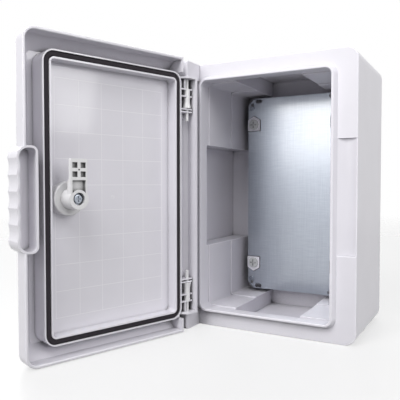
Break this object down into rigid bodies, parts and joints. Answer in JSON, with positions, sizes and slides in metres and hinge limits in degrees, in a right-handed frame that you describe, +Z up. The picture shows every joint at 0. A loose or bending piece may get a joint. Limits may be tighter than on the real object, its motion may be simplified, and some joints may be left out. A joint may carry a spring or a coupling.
{
  "type": "electrical enclosure",
  "caption": "Upright plastic wall enclosure with a side hinged door standing open, a gasket, a quarter turn lever lock and a galvanised mounting plate inside.",
  "frame": {"origin": "middle of the bottom face that the housing stands on", "axes": "+X to the closing edge, +Y from the door side to the wall, +Z up"},
  "size_m": [0.2564, 0.3467, 0.3],
  "materials": {
    "housing_plastic": "fine satin moulding",
    "hinge_plastic": "satin moulding",
    "lock_plastic": "satin moulding",
    "plug_plastic": "smooth cap",
    "gasket_rubber": "matt foam rubber",
    "galvanised_steel": "zinc coated sheet",
    "screw_steel": "bright zinc plate",
    "spindle_metal": "die cast, plated"
  },
  "bodies": {
    "cabinet": {"housing": "housing_plastic", "mounting_plate": "galvanised_steel", "plate_screw_lower_left": "screw_steel", "plate_screw_upper_left": "screw_steel", "plate_screw_lower_right": "screw_steel", "plate_screw_upper_right": "screw_steel", "wall_hole_plug_lower_left": "plug_plastic", "wall_hole_plug_upper_left": "plug_plastic", "wall_hole_plug_lower_right": "plug_plastic", "wall_hole_plug_upper_right": "plug_plastic"},
    "door": {"door": "housing_plastic", "gasket": "gasket_rubber", "upper_hinge_pin": "hinge_plastic", "lower_hinge_pin": "hinge_plastic", "lock_body": "lock_plastic", "lock_seal": "gasket_rubber", "lock_nut": "lock_plastic"},
    "latch": {"lock_spindle": "spindle_metal", "lock_lever": "lock_plastic", "lock_washer": "screw_steel", "lock_screw": "screw_steel"}
  },
  "joints": [
    {"name": "door_hinge", "type": "hinge", "parent": "cabinet", "child": "door", "pos_m": [-0.092, -0.087, 0.15], "axis": [0, 0, 1], "range_deg": [-11.3, 108.7]},
    {"name": "lock_turn", "type": "hinge", "parent": "door", "child": "latch", "pos_m": [-0.11812, -0.23124, 0.15], "axis": [0.9472, -0.3206, 0], "range_deg": [0, 90]}
  ]
}
